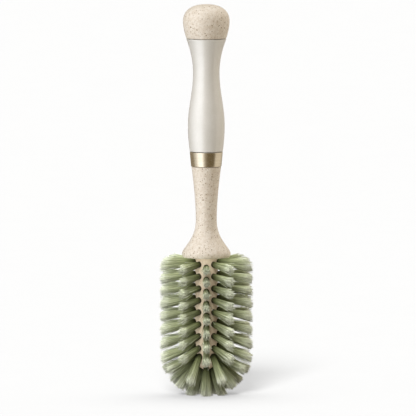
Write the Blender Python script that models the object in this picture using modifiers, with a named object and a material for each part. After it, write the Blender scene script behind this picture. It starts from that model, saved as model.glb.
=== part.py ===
"""A bottle brush that stands on its bristle tips, modelled as its separate pieces.

The axis of the brush is +Z and the origin is on the floor under it. From the top down: a screw-in knob,
a hollow frosted handle, a brass ferrule, a neck that flares into a bell, and a screw-on brush head whose
tufts stand out of a round core. Sizes are in metres.
"""

import math

import bmesh
import bpy
from mathutils import Matrix, Vector

# What every piece shares
GAP = 0.0003
TURN_STEPS = 32
SMALL_TURN_STEPS = 24
RING_SECTION_STEPS = 8
CURVE_POINTS = 7
OVERRUN = 0.002
MERGE_DISTANCE = 0.00001

# Knob
KNOB_HEIGHT = 0.0234
KNOB_RADIUS = 0.01605
KNOB_FOOT_RADIUS = 0.0137
KNOB_DOME_HEIGHT = 0.0120
KNOB_DOME_POWER = 2.38
KNOB_FOOT_POWER = 1.7
KNOB_EDGE_ROUND = 0.0004

# Threaded stud of the knob, and the collar in the handle that takes it
KNOB_STUD_RADIUS = 0.0057
KNOB_STUD_LENGTH = 0.0115
KNOB_SHANK_RADIUS = 0.0045
KNOB_SHANK_LENGTH = 0.0110
TOP_COLLAR_WALL = 0.0023
TOP_COLLAR_HEIGHT = 0.0124

# Sealing ring under the knob
KNOB_SEAL_RADIUS = 0.0072
KNOB_SEAL_THICKNESS = 0.0016

# Hollow frosted handle
HANDLE_LENGTH = 0.0778
HANDLE_TOP_RADIUS = 0.0139
HANDLE_WAIST_RADIUS = 0.0091
HANDLE_BELLY_RADIUS = 0.01265
HANDLE_FOOT_RADIUS = 0.01135
HANDLE_WAIST_DEPTH = 0.0238
HANDLE_BELLY_DEPTH = 0.0600
HANDLE_WALL = 0.0022
HANDLE_FLARE_POWER = 2.0
HANDLE_EDGE_ROUND = 0.0005

# Plug that closes the foot of the handle, and its sealing ring
PLUG_HEIGHT = 0.0100
PLUG_SEAL_THICKNESS = 0.0016
PLUG_SEAL_HEIGHT = 0.0060

# Brass ferrule
FERRULE_HEIGHT = 0.0100
FERRULE_TOP_RADIUS = 0.0114
FERRULE_FOOT_RADIUS = 0.0105
FERRULE_WALL = 0.0014
FERRULE_EDGE_ROUND = 0.0003

# Neck and bell
NECK_LENGTH = 0.0626
NECK_TOP_RADIUS = 0.0102
NECK_WAIST_RADIUS = 0.0072
NECK_WAIST_DEPTH = 0.0353
NECK_TAPER_POWER = 1.6
BELL_RADIUS = 0.0168
BELL_EDGE_HEIGHT = 0.0030
BELL_EDGE_INSET = 0.0011
BELL_FLARE_POWER = 2.6
BELL_ROUND_POWER = 1.45

# Steel rod through the neck
ROD_RADIUS = 0.0030
ROD_IN_PLUG = 0.0070
ROD_IN_HEAD = 0.0120

# Washer between the bell and the brush head
WASHER_RADIUS = 0.0072
WASHER_THICKNESS = 0.0012
WASHER_RECESS = 0.0015

# Brush core
CORE_RADIUS = 0.00795
CORE_SPINE_RADIUS = 0.0058
CORE_COLLAR_HEIGHT = 0.0010
CORE_SPIGOT_RADIUS = 0.0035
CORE_SPIGOT_LENGTH = 0.0075
CORE_DOME_HEIGHT = 0.0110
CORE_DOME_TOP_BAND = 0.0011
STAVE_TOP_BAND = 0.0018
CORE_INSERT_WALL = 0.0013

# Tufts on the side of the core, a column to a line: where it stands and where it points, in degrees round from
# the front, how far its rows are above the middle ones, and how many degrees down its first and last rows point
COLUMNS = (
    (0, 0, -0.0020, 2.8, 16.0),
    (41, 30, 0.0, 5.7, 15.4),
    (77, 77, 0.0012, 6.5, 20.0),
    (113, 113, 0.0012, 1.5, 18.0),
    (148, 148, 0.0, 3.0, 15.5),
    (180, 180, -0.0010, 3.0, 16.0),
    (212, 212, 0.0, 3.0, 15.5),
    (247, 247, 0.0012, 1.5, 18.0),
    (283, 283, 0.0012, 6.5, 20.0),
    (319, 330, 0.0, 5.7, 15.4),
)
HIGHEST_RISE = 0.0012
ROWS = 8
ROW_PITCH = 0.00824
LAST_ROW_RISE = 0.0041
DROOP_POWER = 2.2

# Tufts on the domed end, each with its mirror image unless it is on the middle line: where it stands and where it
# points, in degrees round from the front, how many degrees round the dome from its rim, how many degrees down it
# points, and whether it stands on the floor
DOME_TUFTS = (
    (36, 23, 3, 46, False),
    (66, 61, 3, 23, False),
    (99, 99, 3, 25, False),
    (132, 132, 3, 28, False),
    (165, 165, 3, 30, False),
    (72, 72, 24, 55, False),
    (105, 100, 23, 41, False),
    (141, 141, 23, 45, False),
    (180, 180, 23, 46, False),
    (122, 122, 44, 58, False),
    (162, 162, 44, 58, False),
    (0, 0, 57, 72, True),
    (72, 72, 60, 68, True),
    (142, 142, 63, 71, True),
    (0, 0, 90, 89, True),
)

# Each tuft
HEAD_RADIUS = 0.0326
TRIM_RIM = 0.0323
TRIM_POWER = 2.3
TRIM_HALVINGS = 40
STRANDS = 4
STRAND_SIDES = 3
STRAND_BASE_RADIUS = 0.00075
STRAND_TIP_RADIUS = 0.00120
TUFT_BASE_SPREAD = 0.00115
TUFT_TIP_SPREAD = 0.00200
TUFT_ROOT = 0.0013
STANDING_CUT = 0.0016

# Heights, from the floor up
DOME_RIM = 0.0280
LAST_ROW = DOME_RIM + CORE_DOME_TOP_BAND + LAST_ROW_RISE
FIRST_ROW = LAST_ROW + (ROWS - 1) * ROW_PITCH
CROWN_TOP = DOME_RIM + CORE_DOME_TOP_BAND
STAVE_FOOT = CROWN_TOP + GAP
STAVE_TOP = FIRST_ROW + HIGHEST_RISE + STAVE_TOP_BAND
CORE_TOP = STAVE_TOP + GAP + CORE_COLLAR_HEIGHT
WASHER_FOOT = CORE_TOP + GAP
WASHER_TOP = WASHER_FOOT + WASHER_THICKNESS
BELL_FOOT = WASHER_TOP + GAP - WASHER_RECESS
NECK_SHOULDER = BELL_FOOT + NECK_LENGTH
FERRULE_FOOT = NECK_SHOULDER + GAP
FERRULE_TOP = FERRULE_FOOT + FERRULE_HEIGHT
HANDLE_FOOT = FERRULE_TOP + GAP
HANDLE_TOP = HANDLE_FOOT + HANDLE_LENGTH
KNOB_FOOT = HANDLE_TOP + GAP
KNOB_TOP = KNOB_FOOT + KNOB_HEIGHT

# Radii that follow from what fits in what
STAVE_INNER_RADIUS = CORE_SPINE_RADIUS + GAP
ROD_BORE_RADIUS = ROD_RADIUS + GAP
INSERT_RADIUS = ROD_BORE_RADIUS + CORE_INSERT_WALL
INSERT_SEAT_RADIUS = INSERT_RADIUS + GAP
SPIGOT_RADIUS = FERRULE_FOOT_RADIUS - FERRULE_WALL - GAP
COLLAR_BORE_RADIUS = KNOB_STUD_RADIUS + GAP
COLLAR_RADIUS = COLLAR_BORE_RADIUS + TOP_COLLAR_WALL
COLLAR_SEAT_RADIUS = COLLAR_RADIUS + GAP
HANDLE_FOOT_BORE_RADIUS = HANDLE_FOOT_RADIUS - HANDLE_WALL
PLUG_RADIUS = HANDLE_FOOT_BORE_RADIUS - GAP

PARTS = "BottleBrush"
CUTTERS = "Cutters"


def clear_scene():
    for obj in list(bpy.data.objects):
        bpy.data.objects.remove(obj, do_unlink=True)
    for name in (PARTS, CUTTERS):
        collection = bpy.data.collections.new(name)
        bpy.context.scene.collection.children.link(collection)


def material(name, color, roughness, metallic=0.0, alpha=1.0):
    made = bpy.data.materials.new(name)
    made.use_nodes = True
    shader = made.node_tree.nodes["Principled BSDF"]
    shader.inputs["Base Color"].default_value = (*color, 1.0)
    shader.inputs["Roughness"].default_value = roughness
    shader.inputs["Metallic"].default_value = metallic
    shader.inputs["Alpha"].default_value = alpha
    return made


def add_object(name, mesh, finish, collection=PARTS):
    obj = bpy.data.objects.new(name, mesh)
    bpy.data.collections[collection].objects.link(obj)
    if not mesh.materials:
        mesh.materials.append(finish)
    return obj


def make_helper(obj):
    obj.hide_render = True
    obj.display_type = "WIRE"


def turned(name, outline, finish, closed, steps=TURN_STEPS, collection=PARTS):
    """Turns an outline of (radius, height) points about Z. A closed one is a ring, an open one ends on the axis."""
    mesh = bpy.data.meshes.new(name)
    count = len(outline)
    edges = [(i, i + 1) for i in range(count - 1)]
    if closed:
        edges.append((count - 1, 0))
    mesh.from_pydata([(radius, 0.0, height) for radius, height in outline], edges, [])
    obj = add_object(name, mesh, finish, collection)
    screw = obj.modifiers.new("Turn", "SCREW")
    screw.axis = "Z"
    screw.angle = math.tau
    screw.steps = steps
    screw.render_steps = steps
    screw.use_merge_vertices = True
    screw.merge_threshold = MERGE_DISTANCE
    screw.use_smooth_shade = True
    return obj


def sealing_ring(name, radius, thickness, height, finish):
    bpy.ops.mesh.primitive_torus_add(
        major_radius=radius,
        minor_radius=thickness / 2,
        major_segments=SMALL_TURN_STEPS,
        minor_segments=RING_SECTION_STEPS,
        location=(0.0, 0.0, height),
    )
    obj = bpy.context.object
    obj.name = name
    obj.data.name = name
    for owner in list(obj.users_collection):
        owner.objects.unlink(obj)
    bpy.data.collections[PARTS].objects.link(obj)
    obj.data.materials.append(finish)
    obj.data.shade_smooth()
    return obj


def boolean(obj, operation, other, crossing=False):
    modifier = obj.modifiers.new(operation.title(), "BOOLEAN")
    modifier.operation = operation
    modifier.solver = "EXACT"
    modifier.use_self = crossing
    modifier.object = other


def evaluated_mesh(obj, name):
    bpy.context.view_layer.update()
    graph = bpy.context.evaluated_depsgraph_get()
    mesh = bpy.data.meshes.new_from_object(obj.evaluated_get(graph))
    mesh.name = name
    return mesh


def shares(count):
    return [i / (count - 1) for i in range(count)]


def smooth_share(share):
    return (1 - math.cos(math.pi * share)) / 2


def knob_outline():
    """The mushroom knob: a squarish dome over a foot that draws in to the handle, bored for its stud and ring."""
    widest = KNOB_TOP - KNOB_DOME_HEIGHT
    dome = []
    for share in shares(CURVE_POINTS + 2):
        angle = share * math.pi / 2
        radius = KNOB_RADIUS * math.sin(angle) ** (2 / KNOB_DOME_POWER)
        height = KNOB_DOME_HEIGHT * math.cos(angle) ** (2 / KNOB_DOME_POWER)
        dome.append((radius, widest + height))
    foot_height = widest - KNOB_FOOT - KNOB_EDGE_ROUND
    foot = []
    for share in shares(CURVE_POINTS - 2)[1:]:
        draw_in = (KNOB_RADIUS - KNOB_FOOT_RADIUS) * share**KNOB_FOOT_POWER
        foot.append((KNOB_RADIUS - draw_in, widest - foot_height * share))
    ring_recess = KNOB_SEAL_RADIUS + KNOB_SEAL_THICKNESS / 2 + GAP
    ring_top = HANDLE_TOP + KNOB_SEAL_THICKNESS + GAP
    shank_bore = KNOB_SHANK_RADIUS + GAP
    shank_top = KNOB_FOOT + GAP + KNOB_SHANK_LENGTH + GAP
    under = [
        (KNOB_FOOT_RADIUS - KNOB_EDGE_ROUND, KNOB_FOOT),
        (ring_recess, KNOB_FOOT),
        (ring_recess, ring_top),
        (shank_bore, ring_top),
        (shank_bore, shank_top),
        (0.0, shank_top),
    ]
    return dome + foot + under


def knob_stud_outline():
    """The threaded stud that fills the collar, with a thinner shank up into the knob."""
    thread_top = HANDLE_TOP + KNOB_SEAL_THICKNESS
    thread_foot = HANDLE_TOP - KNOB_STUD_LENGTH
    shank_top = KNOB_FOOT + GAP + KNOB_SHANK_LENGTH
    return [
        (0.0, shank_top),
        (KNOB_SHANK_RADIUS, shank_top),
        (KNOB_SHANK_RADIUS, thread_top),
        (KNOB_STUD_RADIUS, thread_top),
        (KNOB_STUD_RADIUS, thread_foot),
        (0.0, thread_foot),
    ]


def top_collar_outline():
    top = HANDLE_TOP - GAP
    foot = top - TOP_COLLAR_HEIGHT
    return [
        (COLLAR_RADIUS, top),
        (COLLAR_RADIUS, foot),
        (COLLAR_BORE_RADIUS, foot),
        (COLLAR_BORE_RADIUS, top),
    ]


def handle_radius(depth):
    """The outside of the handle at a depth under its top: flare, waist, belly and foot."""
    if depth < HANDLE_WAIST_DEPTH:
        share = 1 - depth / HANDLE_WAIST_DEPTH
        return HANDLE_WAIST_RADIUS + (HANDLE_TOP_RADIUS - HANDLE_WAIST_RADIUS) * share**HANDLE_FLARE_POWER
    if depth < HANDLE_BELLY_DEPTH:
        share = (depth - HANDLE_WAIST_DEPTH) / (HANDLE_BELLY_DEPTH - HANDLE_WAIST_DEPTH)
        return HANDLE_WAIST_RADIUS + (HANDLE_BELLY_RADIUS - HANDLE_WAIST_RADIUS) * smooth_share(share)
    share = (depth - HANDLE_BELLY_DEPTH) / (HANDLE_LENGTH - HANDLE_BELLY_DEPTH)
    return HANDLE_BELLY_RADIUS + (HANDLE_FOOT_RADIUS - HANDLE_BELLY_RADIUS) * share**HANDLE_FLARE_POWER


def handle_outline():
    """The hollow handle: its wall follows the outside, with a seat for the collar on top and a bore for the plug."""
    depths = [HANDLE_EDGE_ROUND + share * HANDLE_WAIST_DEPTH for share in shares(CURVE_POINTS)[:-1]]
    belly = HANDLE_BELLY_DEPTH - HANDLE_WAIST_DEPTH
    depths += [HANDLE_WAIST_DEPTH + share * belly for share in shares(CURVE_POINTS + 1)[:-1]]
    foot = HANDLE_LENGTH - HANDLE_BELLY_DEPTH - HANDLE_EDGE_ROUND
    depths += [HANDLE_BELLY_DEPTH + share * foot for share in shares(CURVE_POINTS - 3)]
    outside = [(HANDLE_TOP_RADIUS - HANDLE_EDGE_ROUND, HANDLE_TOP)]
    outside += [(handle_radius(depth), HANDLE_TOP - depth) for depth in depths]
    outside.append((HANDLE_FOOT_RADIUS - HANDLE_EDGE_ROUND, HANDLE_FOOT))
    plug_bore_top = HANDLE_FOOT + PLUG_HEIGHT + GAP
    collar_seat = HANDLE_TOP - GAP - TOP_COLLAR_HEIGHT - GAP
    inside = [
        (HANDLE_FOOT_BORE_RADIUS, HANDLE_FOOT),
        (HANDLE_FOOT_BORE_RADIUS, plug_bore_top),
    ]
    top_depth = HANDLE_TOP - collar_seat
    foot_depth = HANDLE_TOP - plug_bore_top
    for share in shares(CURVE_POINTS + 1):
        depth = foot_depth + (top_depth - foot_depth) * share
        inside.append((handle_radius(depth) - HANDLE_WALL, HANDLE_TOP - depth))
    inside += [(COLLAR_SEAT_RADIUS, collar_seat), (COLLAR_SEAT_RADIUS, HANDLE_TOP)]
    return outside + inside


def plug_outline():
    """The plug in the foot of the handle: a groove for its sealing ring, and a blind hole for the rod."""
    foot = HANDLE_FOOT
    top = HANDLE_FOOT + PLUG_HEIGHT
    groove_radius = PLUG_RADIUS - PLUG_SEAL_THICKNESS - GAP
    groove_half = PLUG_SEAL_THICKNESS / 2 + GAP
    groove = HANDLE_FOOT + PLUG_SEAL_HEIGHT
    rod_top = NECK_SHOULDER + FERRULE_HEIGHT + ROD_IN_PLUG + GAP
    return [
        (0.0, top),
        (PLUG_RADIUS, top),
        (PLUG_RADIUS, groove + groove_half),
        (groove_radius, groove + groove_half),
        (groove_radius, groove - groove_half),
        (PLUG_RADIUS, groove - groove_half),
        (PLUG_RADIUS, foot),
        (ROD_BORE_RADIUS, foot),
        (ROD_BORE_RADIUS, rod_top),
        (0.0, rod_top),
    ]


def ferrule_outline():
    top_inset = FERRULE_TOP_RADIUS - FERRULE_EDGE_ROUND
    foot_inset = FERRULE_FOOT_RADIUS - FERRULE_EDGE_ROUND
    bore = SPIGOT_RADIUS + GAP
    return [
        (top_inset, FERRULE_TOP),
        (FERRULE_TOP_RADIUS, FERRULE_TOP - FERRULE_EDGE_ROUND),
        (FERRULE_FOOT_RADIUS, FERRULE_FOOT + FERRULE_EDGE_ROUND),
        (foot_inset, FERRULE_FOOT),
        (bore, FERRULE_FOOT),
        (bore, FERRULE_TOP),
    ]


def neck_outline():
    """The neck tapers from the ferrule to a waist and flares to the bell. A spigot on top carries the ferrule."""
    taper = []
    for share in shares(CURVE_POINTS)[:-1]:
        swell = (NECK_TOP_RADIUS - NECK_WAIST_RADIUS) * (1 - share) ** NECK_TAPER_POWER
        taper.append((NECK_WAIST_RADIUS + swell, NECK_SHOULDER - share * NECK_WAIST_DEPTH))
    flare_height = NECK_LENGTH - NECK_WAIST_DEPTH - BELL_EDGE_HEIGHT
    flare = []
    for share in shares(CURVE_POINTS + 3):
        swell = (BELL_RADIUS - NECK_WAIST_RADIUS) * (1 - (1 - share**BELL_FLARE_POWER) ** BELL_ROUND_POWER)
        height = NECK_SHOULDER - NECK_WAIST_DEPTH - share * flare_height
        flare.append((NECK_WAIST_RADIUS + swell, height))
    edge = []
    for share in shares(CURVE_POINTS - 3)[1:]:
        angle = share * math.pi / 2
        radius = BELL_RADIUS - BELL_EDGE_INSET * (1 - math.cos(angle))
        edge.append((radius, BELL_FOOT + BELL_EDGE_HEIGHT * (1 - math.sin(angle))))
    recess = WASHER_RADIUS + GAP
    recess_top = BELL_FOOT + WASHER_RECESS
    spigot_top = FERRULE_TOP
    bore = [
        (recess, BELL_FOOT),
        (recess, recess_top),
        (ROD_BORE_RADIUS, recess_top),
        (ROD_BORE_RADIUS, spigot_top),
    ]
    spigot = [(SPIGOT_RADIUS, spigot_top), (SPIGOT_RADIUS, NECK_SHOULDER)]
    return spigot + taper + flare + edge + bore


def rod_outline():
    top = NECK_SHOULDER + FERRULE_HEIGHT + ROD_IN_PLUG
    foot = CORE_TOP - ROD_IN_HEAD
    return [(0.0, top), (ROD_RADIUS, top), (ROD_RADIUS, foot), (0.0, foot)]


def washer_outline():
    bore = ROD_BORE_RADIUS
    return [
        (WASHER_RADIUS, WASHER_TOP),
        (WASHER_RADIUS, WASHER_FOOT),
        (bore, WASHER_FOOT),
        (bore, WASHER_TOP),
    ]


def insert_foot():
    return CORE_TOP - ROD_IN_HEAD - GAP


def core_outline():
    """The spine of the brush head: a collar on top, a socket for the threaded insert and a spigot for the crown."""
    spigot_foot = STAVE_FOOT - CORE_SPIGOT_LENGTH
    collar_foot = CORE_TOP - CORE_COLLAR_HEIGHT
    seat = insert_foot() - GAP
    return [
        (INSERT_SEAT_RADIUS, CORE_TOP),
        (CORE_RADIUS, CORE_TOP),
        (CORE_RADIUS, collar_foot),
        (CORE_SPINE_RADIUS, collar_foot),
        (CORE_SPINE_RADIUS, STAVE_FOOT),
        (CORE_SPIGOT_RADIUS, STAVE_FOOT),
        (CORE_SPIGOT_RADIUS, spigot_foot),
        (0.0, spigot_foot),
    ], [(0.0, seat), (INSERT_SEAT_RADIUS, seat)]


def insert_outline():
    top = CORE_TOP - GAP
    foot = insert_foot()
    return [
        (INSERT_RADIUS, top),
        (INSERT_RADIUS, foot),
        (ROD_BORE_RADIUS, foot),
        (ROD_BORE_RADIUS, top),
    ]


def dome_point(angle):
    """Radius and height of the domed end of the core, at an angle round from its rim."""
    return CORE_RADIUS * math.cos(angle), DOME_RIM - CORE_DOME_HEIGHT * math.sin(angle)


def crown_outline():
    bore = CORE_SPIGOT_RADIUS + GAP
    bore_foot = STAVE_FOOT - CORE_SPIGOT_LENGTH - GAP
    dome = [dome_point(share * math.pi / 2) for share in shares(CURVE_POINTS + 1)]
    dome[-1] = (0.0, dome[-1][1])
    return [(0.0, bore_foot), (bore, bore_foot), (bore, CROWN_TOP), (CORE_RADIUS, CROWN_TOP)] + dome


def inside_trim(point):
    """True where a point lies inside the outline that the bristles are trimmed to."""
    across = math.hypot(point.x, point.y) / HEAD_RADIUS
    down = max(0.0, (TRIM_RIM - point.z) / TRIM_RIM)
    return across**TRIM_POWER + down**TRIM_POWER < 1


def trimmed_length(base, direction):
    """How far a tuft runs from its base before it meets the trimmed outline, found by halving."""
    low, high = 0.0, 2 * HEAD_RADIUS
    for _ in range(TRIM_HALVINGS):
        middle = (low + high) / 2
        if inside_trim(base + direction * middle):
            low = middle
        else:
            high = middle
    return low


def add_strand(bm, start, end):
    """One tapered three-sided strand from start to end."""
    along = end - start
    turn = along.to_track_quat("Z", "Y").to_matrix().to_4x4()
    place = Matrix.Translation((start + end) / 2) @ turn
    bmesh.ops.create_cone(
        bm,
        cap_ends=True,
        segments=STRAND_SIDES,
        radius1=STRAND_BASE_RADIUS,
        radius2=STRAND_TIP_RADIUS,
        depth=along.length,
        matrix=place,
    )


def add_tuft(bm, base, direction, length):
    """A tuft is a few strands that spread from a point on the core, none of them crossing."""
    turn = direction.to_track_quat("Z", "Y")
    root = base - direction * TUFT_ROOT
    tip = base + direction * length
    for i in range(STRANDS):
        angle = (i + 0.5) * math.tau / STRANDS
        sideways = turn @ Vector((math.cos(angle), math.sin(angle), 0.0))
        add_strand(bm, root + sideways * TUFT_BASE_SPREAD, tip + sideways * TUFT_TIP_SPREAD)


def strands_object(name, tufts, finish):
    bm = bmesh.new()
    for base, direction, length in tufts:
        add_tuft(bm, base, direction, length)
    mesh = bpy.data.meshes.new(name)
    bm.to_mesh(mesh)
    bm.free()
    obj = add_object(name, mesh, finish, CUTTERS)
    make_helper(obj)
    return obj


def pointing(azimuth, droop):
    return Vector((
        math.cos(azimuth) * math.cos(droop),
        math.sin(azimuth) * math.cos(droop),
        -math.sin(droop),
    ))


def round_from_front(degrees):
    return math.radians(degrees - 90)


def column_tufts(column):
    """The tufts of one column, from the top row down. Lower rows point further down."""
    stands, points, rise, first_droop, last_droop = column
    azimuth = round_from_front(stands)
    tufts = []
    for share in shares(ROWS):
        droop = math.radians(first_droop + (last_droop - first_droop) * share**DROOP_POWER)
        height = FIRST_ROW + rise + (LAST_ROW - FIRST_ROW) * share
        base = Vector((CORE_RADIUS * math.cos(azimuth), CORE_RADIUS * math.sin(azimuth), height))
        direction = pointing(round_from_front(points), droop)
        tufts.append((base, direction, trimmed_length(base, direction)))
    return tufts


def dome_tufts():
    """The tufts on the domed end. Those that stand run past the floor, where they are cut flat."""
    tufts = []
    for stands, points, round_dome, down, on_floor in DOME_TUFTS:
        radius, height = dome_point(math.radians(round_dome))
        droop = math.radians(down)
        sides = (1,) if stands % 180 == 0 else (1, -1)
        for side in sides:
            azimuth = round_from_front(side * stands)
            base = Vector((radius * math.cos(azimuth), radius * math.sin(azimuth), height))
            direction = pointing(round_from_front(side * points), droop)
            if on_floor:
                length = (height + STANDING_CUT) / math.sin(droop)
            else:
                length = trimmed_length(base, direction)
            tufts.append((base, direction, length))
    return tufts


def stave_edges(index):
    """Where a slice of the core's wall begins and ends: half way to the columns beside it."""
    stands = COLUMNS[index][0]
    before = (stands - COLUMNS[index - 1][0]) % 360
    after = (COLUMNS[(index + 1) % len(COLUMNS)][0] - stands) % 360
    return round_from_front(stands - before / 2), round_from_front(stands + after / 2)


def stave_blank(index, finish):
    """One slice of the core's wall, as wide as its column of tufts needs."""
    low, high = stave_edges(index)
    outer_edge = math.asin(GAP / 2 / CORE_RADIUS)
    inner_edge = math.asin(GAP / 2 / STAVE_INNER_RADIUS)
    outline = []
    for share in shares(CURVE_POINTS - 2):
        angle = low + outer_edge + (high - low - 2 * outer_edge) * share
        outline.append((CORE_RADIUS * math.cos(angle), CORE_RADIUS * math.sin(angle)))
    inner = STAVE_INNER_RADIUS / math.cos((high - low) / 4)
    for share in (1.0, 0.5, 0.0):
        angle = low + inner_edge + (high - low - 2 * inner_edge) * share
        outline.append((inner * math.cos(angle), inner * math.sin(angle)))
    curve = bpy.data.curves.new("stave_outline", "CURVE")
    curve.dimensions = "2D"
    curve.fill_mode = "BOTH"
    curve.extrude = (STAVE_TOP - STAVE_FOOT) / 2
    spline = curve.splines.new("POLY")
    spline.points.add(len(outline) - 1)
    for point, (x, y) in zip(spline.points, outline):
        point.co = (x, y, 0.0, 1.0)
    spline.use_cyclic_u = True
    guide = bpy.data.objects.new("stave_outline", curve)
    guide.location.z = (STAVE_TOP + STAVE_FOOT) / 2
    bpy.data.collections[CUTTERS].objects.link(guide)
    mesh = evaluated_mesh(guide, "stave_blank")
    mesh.transform(guide.matrix_world)
    bpy.data.objects.remove(guide)
    bm = bmesh.new()
    bm.from_mesh(mesh)
    bmesh.ops.remove_doubles(bm, verts=bm.verts, dist=MERGE_DISTANCE)
    bmesh.ops.recalc_face_normals(bm, faces=bm.faces)
    bm.to_mesh(mesh)
    bm.free()
    return add_object(f"bristle_column_{index + 1:02d}", mesh, finish)


def build_columns(finish):
    """Ten slices of the core's wall, each fused with the strands of its own column of tufts."""
    for index, column in enumerate(COLUMNS):
        stave = stave_blank(index, finish)
        strands = strands_object(f"column_strands_{index + 1:02d}", column_tufts(column), finish)
        boolean(stave, "UNION", strands)


def build_crown(finish):
    crown = turned("bristle_crown", crown_outline(), finish, False, SMALL_TURN_STEPS)
    strands = strands_object("crown_strands", dome_tufts(), finish)
    boolean(crown, "UNION", strands, crossing=True)
    depth = STANDING_CUT + OVERRUN
    bpy.ops.mesh.primitive_cube_add(size=1, location=(0.0, 0.0, -depth / 2))
    floor = bpy.context.object
    floor.name = "floor_cutter"
    floor.scale = (2 * HEAD_RADIUS, 3 * HEAD_RADIUS, depth)
    for owner in list(floor.users_collection):
        owner.objects.unlink(floor)
    bpy.data.collections[CUTTERS].objects.link(floor)
    make_helper(floor)
    boolean(crown, "DIFFERENCE", floor)


def build_core(finish):
    outside, socket = core_outline()
    turned("core", socket + outside, finish, False)


def main():
    clear_scene()
    speckled = material("speckled_plastic", (0.73, 0.65, 0.52), 0.55)
    frosted = material("frosted_handle", (0.86, 0.84, 0.79), 0.45, alpha=0.6)
    brass = material("brushed_brass", (0.62, 0.50, 0.28), 0.32, metallic=1.0)
    steel = material("rod_steel", (0.62, 0.62, 0.60), 0.30, metallic=1.0)
    clear_plastic = material("insert_plastic", (0.80, 0.78, 0.72), 0.40)
    rubber = material("seal_rubber", (0.10, 0.09, 0.07), 0.70)
    core_plastic = material("core_plastic", (0.60, 0.50, 0.38), 0.55)
    bristle = material("sage_bristle", (0.32, 0.38, 0.20), 0.50)

    turned("knob", knob_outline(), speckled, False)
    turned("knob_stud", knob_stud_outline(), clear_plastic, False, SMALL_TURN_STEPS)
    seal_height = HANDLE_TOP + KNOB_SEAL_THICKNESS / 2
    sealing_ring("knob_seal", KNOB_SEAL_RADIUS, KNOB_SEAL_THICKNESS, seal_height, rubber)
    turned("top_collar", top_collar_outline(), clear_plastic, True, SMALL_TURN_STEPS)
    turned("handle_sleeve", handle_outline(), frosted, True)
    turned("handle_plug", plug_outline(), clear_plastic, False, SMALL_TURN_STEPS)
    plug_ring_radius = PLUG_RADIUS - PLUG_SEAL_THICKNESS / 2
    plug_ring_height = HANDLE_FOOT + PLUG_SEAL_HEIGHT
    sealing_ring("plug_seal", plug_ring_radius, PLUG_SEAL_THICKNESS, plug_ring_height, rubber)
    turned("ferrule", ferrule_outline(), brass, True)
    turned("neck", neck_outline(), speckled, True)
    turned("neck_rod", rod_outline(), steel, False, SMALL_TURN_STEPS)
    turned("head_washer", washer_outline(), rubber, True, SMALL_TURN_STEPS)
    build_core(core_plastic)
    turned("core_insert", insert_outline(), brass, True, SMALL_TURN_STEPS)
    build_columns(bristle)
    build_crown(bristle)


main()
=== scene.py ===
"""Looks of the bottle brush: fine turned pieces, real bristle tufts, their finishes, and a pale studio.

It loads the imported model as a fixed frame. Lengths are in metres, with the axis of the brush on +Z and the
floor at z = 0. Those of the turned pieces repeat the CAD source. The round that the bristles are trimmed to
is the scene's own, close to the one that the solid tufts are cut to.
"""

import math

import bmesh
import bpy
import numpy as np
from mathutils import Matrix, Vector

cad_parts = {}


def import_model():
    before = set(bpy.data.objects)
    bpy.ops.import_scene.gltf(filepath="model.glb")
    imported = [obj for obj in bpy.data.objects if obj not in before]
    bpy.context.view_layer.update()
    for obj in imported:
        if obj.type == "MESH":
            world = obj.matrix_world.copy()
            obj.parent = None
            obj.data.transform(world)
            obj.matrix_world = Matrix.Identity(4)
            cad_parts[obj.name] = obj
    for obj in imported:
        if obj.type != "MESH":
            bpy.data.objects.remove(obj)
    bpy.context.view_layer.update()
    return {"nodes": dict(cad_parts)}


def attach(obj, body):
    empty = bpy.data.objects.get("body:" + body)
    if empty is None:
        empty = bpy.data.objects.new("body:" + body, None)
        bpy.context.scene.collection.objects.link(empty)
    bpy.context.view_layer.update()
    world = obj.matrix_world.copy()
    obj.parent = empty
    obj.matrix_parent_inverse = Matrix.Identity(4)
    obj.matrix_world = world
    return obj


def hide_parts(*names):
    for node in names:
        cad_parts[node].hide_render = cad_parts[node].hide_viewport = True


# Turning: points on the curves of an outline, then what closes, rounds and smooths the turned piece
TURN_STEPS = 96
CURVE_POINTS = 22
SHORT_CURVE_POINTS = 11
DOME_CURVE_POINTS = 28
BELL_CURVE_POINTS = 30
BORE_CURVE_POINTS = 44
SLEEVE_CURVE_POINTS = 66
GAP = 0.0003
START_FACE = 0.001
MERGE_DISTANCE = 0.000001
EDGE_SEGMENTS = 3
EDGE_ROUND = 0.0003
CORNER_ANGLE = math.radians(32)
SMOOTH_ANGLE = math.radians(40)

# Knob
KNOB_FOOT = 0.24678
KNOB_TOP = 0.27018
KNOB_RADIUS = 0.01605
KNOB_FOOT_RADIUS = 0.0137
KNOB_DOME_HEIGHT = 0.0120
KNOB_DOME_POWER = 2.38
KNOB_FOOT_POWER = 1.7
KNOB_EDGE_ROUND = 0.0004
KNOB_SEAL_RECESS = 0.0083
KNOB_SEAL_THICKNESS = 0.0016
KNOB_SHANK_BORE = 0.0048
KNOB_SHANK_LENGTH = 0.0110
KNOB_STUD_RADIUS = 0.0057

# Hollow handle
HANDLE_TOP = 0.24648
HANDLE_FOOT = 0.16868
HANDLE_LENGTH = HANDLE_TOP - HANDLE_FOOT
HANDLE_TOP_RADIUS = 0.0139
HANDLE_WAIST_RADIUS = 0.0091
HANDLE_BELLY_RADIUS = 0.01265
HANDLE_FOOT_RADIUS = 0.01135
HANDLE_WAIST_DEPTH = 0.0238
HANDLE_BELLY_DEPTH = 0.0600
HANDLE_WALL = 0.0022
HANDLE_FLARE_POWER = 2.0
HANDLE_EDGE_ROUND = 0.0005
COLLAR_SEAT_RADIUS = 0.0086
COLLAR_HEIGHT = 0.0124
PLUG_HEIGHT = 0.0100

# Ferrule
FERRULE_FOOT = 0.15838
FERRULE_TOP = 0.16838
FERRULE_TOP_RADIUS = 0.0114
FERRULE_FOOT_RADIUS = 0.0105
FERRULE_BORE = 0.0091

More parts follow.
